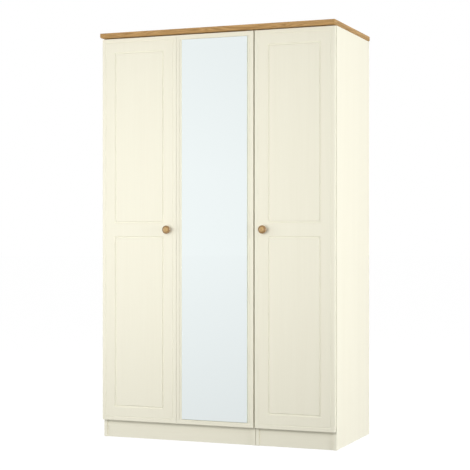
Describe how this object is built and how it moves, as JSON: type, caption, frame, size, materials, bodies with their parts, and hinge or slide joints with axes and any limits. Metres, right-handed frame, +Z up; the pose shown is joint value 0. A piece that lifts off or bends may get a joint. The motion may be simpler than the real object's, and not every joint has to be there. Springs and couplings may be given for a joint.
{
  "type": "wardrobe",
  "caption": "Free-standing cream wardrobe with panelled side doors, a mirrored middle door, wooden knobs and an oak-effect top board; each door opens on concealed hinges.",
  "frame": {"origin": "on the floor, at the middle of the outline seen from above, knobs included", "axes": "+Z up, the doors face -Y, +X to the right as seen from the front"},
  "size_m": [1.108, 0.553, 1.825],
  "materials": {
    "oak_board": "satin oak effect",
    "cream_carcass": "cream wood-grain foil, satin",
    "cream_inside": "cream foil, satin",
    "cream_door": "cream wood-grain foil, satin",
    "hardboard": "cream painted hardboard",
    "beech_dowel": "plain beech",
    "oak_knob": "lacquered oak",
    "chrome_rail": "bright chrome",
    "nickel_hinge": "nickel plated",
    "steel_fittings": "zinc plated",
    "white_plastic": "extruded strip",
    "soft_bumper": "translucent, soft",
    "mirror_glass": "silvered float glass",
    "mirror_tape": "foam tape"
  },
  "bodies": {
    "carcass": {"top_board": "oak_board", "wide_left_side": "cream_carcass", "wide_right_side": "cream_carcass", "wide_base": "cream_inside", "wide_front_top_rail": "cream_inside", "wide_rear_top_rail": "cream_inside", "wide_plinth": "cream_carcass", "wide_rear_plinth": "cream_inside", "wide_back_left": "hardboard", "wide_back_right": "hardboard", "wide_back_joiner": "white_plastic", "wide_hat_shelf": "cream_inside", "wide_hanging_rail": "chrome_rail", "wide_dowels": "beech_dowel", "narrow_left_side": "cream_carcass", "narrow_right_side": "cream_carcass", "narrow_base": "cream_inside", "narrow_front_top_rail": "cream_inside", "narrow_rear_top_rail": "cream_inside", "narrow_plinth": "cream_carcass", "narrow_rear_plinth": "cream_inside", "narrow_back": "hardboard", "narrow_hat_shelf": "cream_inside", "narrow_hanging_rail": "chrome_rail", "narrow_dowels": "beech_dowel", "shelf_pins": "steel_fittings", "rail_sockets": "chrome_rail", "rail_socket_screws": "steel_fittings", "unit_connectors": "steel_fittings", "top_board_screws": "steel_fittings", "left_hinge_plates": "nickel_hinge", "left_hinge_arms": "nickel_hinge", "mirror_hinge_plates": "nickel_hinge", "mirror_hinge_arms": "nickel_hinge", "right_hinge_plates": "nickel_hinge", "right_hinge_arms": "nickel_hinge", "hinge_plate_screws": "steel_fittings"},
    "left_links": {"left_hinge_links": "nickel_hinge"},
    "left_door": {"left_door_panel": "cream_door", "left_knob": "oak_knob", "left_knob_screw": "steel_fittings", "left_hinge_cups": "nickel_hinge", "left_cup_screws": "steel_fittings", "left_door_bumpers": "soft_bumper"},
    "mirror_links": {"mirror_hinge_links": "nickel_hinge"},
    "mirror_door": {"mirror_door_panel": "cream_door", "mirror_tape": "mirror_tape", "mirror_glass": "mirror_glass", "mirror_hinge_cups": "nickel_hinge", "mirror_cup_screws": "steel_fittings", "mirror_door_bumpers": "soft_bumper"},
    "right_links": {"right_hinge_links": "nickel_hinge"},
    "right_door": {"right_door_panel": "cream_door", "right_knob": "oak_knob", "right_knob_screw": "steel_fittings", "right_hinge_cups": "nickel_hinge", "right_cup_screws": "steel_fittings", "right_door_bumpers": "soft_bumper"}
  },
  "joints": [
    {"name": "left_link_slide", "type": "slide", "parent": "carcass", "child": "left_links", "axis": [0, -1, 0], "range_m": [0, 0.0346]},
    {"name": "left_door_hinge", "type": "hinge", "parent": "left_links", "child": "left_door", "pos_m": [-0.5275, -0.2375, 0.939], "axis": [0, 0, -1], "range_deg": [0, 110]},
    {"name": "mirror_link_slide", "type": "slide", "parent": "carcass", "child": "mirror_links", "axis": [0, -1, 0], "range_m": [0, 0.0346]},
    {"name": "mirror_door_hinge", "type": "hinge", "parent": "mirror_links", "child": "mirror_door", "pos_m": [0.1595, -0.2375, 0.939], "axis": [0, 0, 1], "range_deg": [0, 110]},
    {"name": "right_link_slide", "type": "slide", "parent": "carcass", "child": "right_links", "axis": [0, -1, 0], "range_m": [0, 0.0346]},
    {"name": "right_door_hinge", "type": "hinge", "parent": "right_links", "child": "right_door", "pos_m": [0.5275, -0.2375, 0.939], "axis": [0, 0, 1], "range_deg": [0, 110]}
  ],
  "couplings": [
    {"joint": "left_link_slide", "follows": "left_door_hinge", "m_per_rad": 0.018},
    {"joint": "mirror_link_slide", "follows": "mirror_door_hinge", "m_per_rad": 0.018},
    {"joint": "right_link_slide", "follows": "right_door_hinge", "m_per_rad": 0.018}
  ]
}
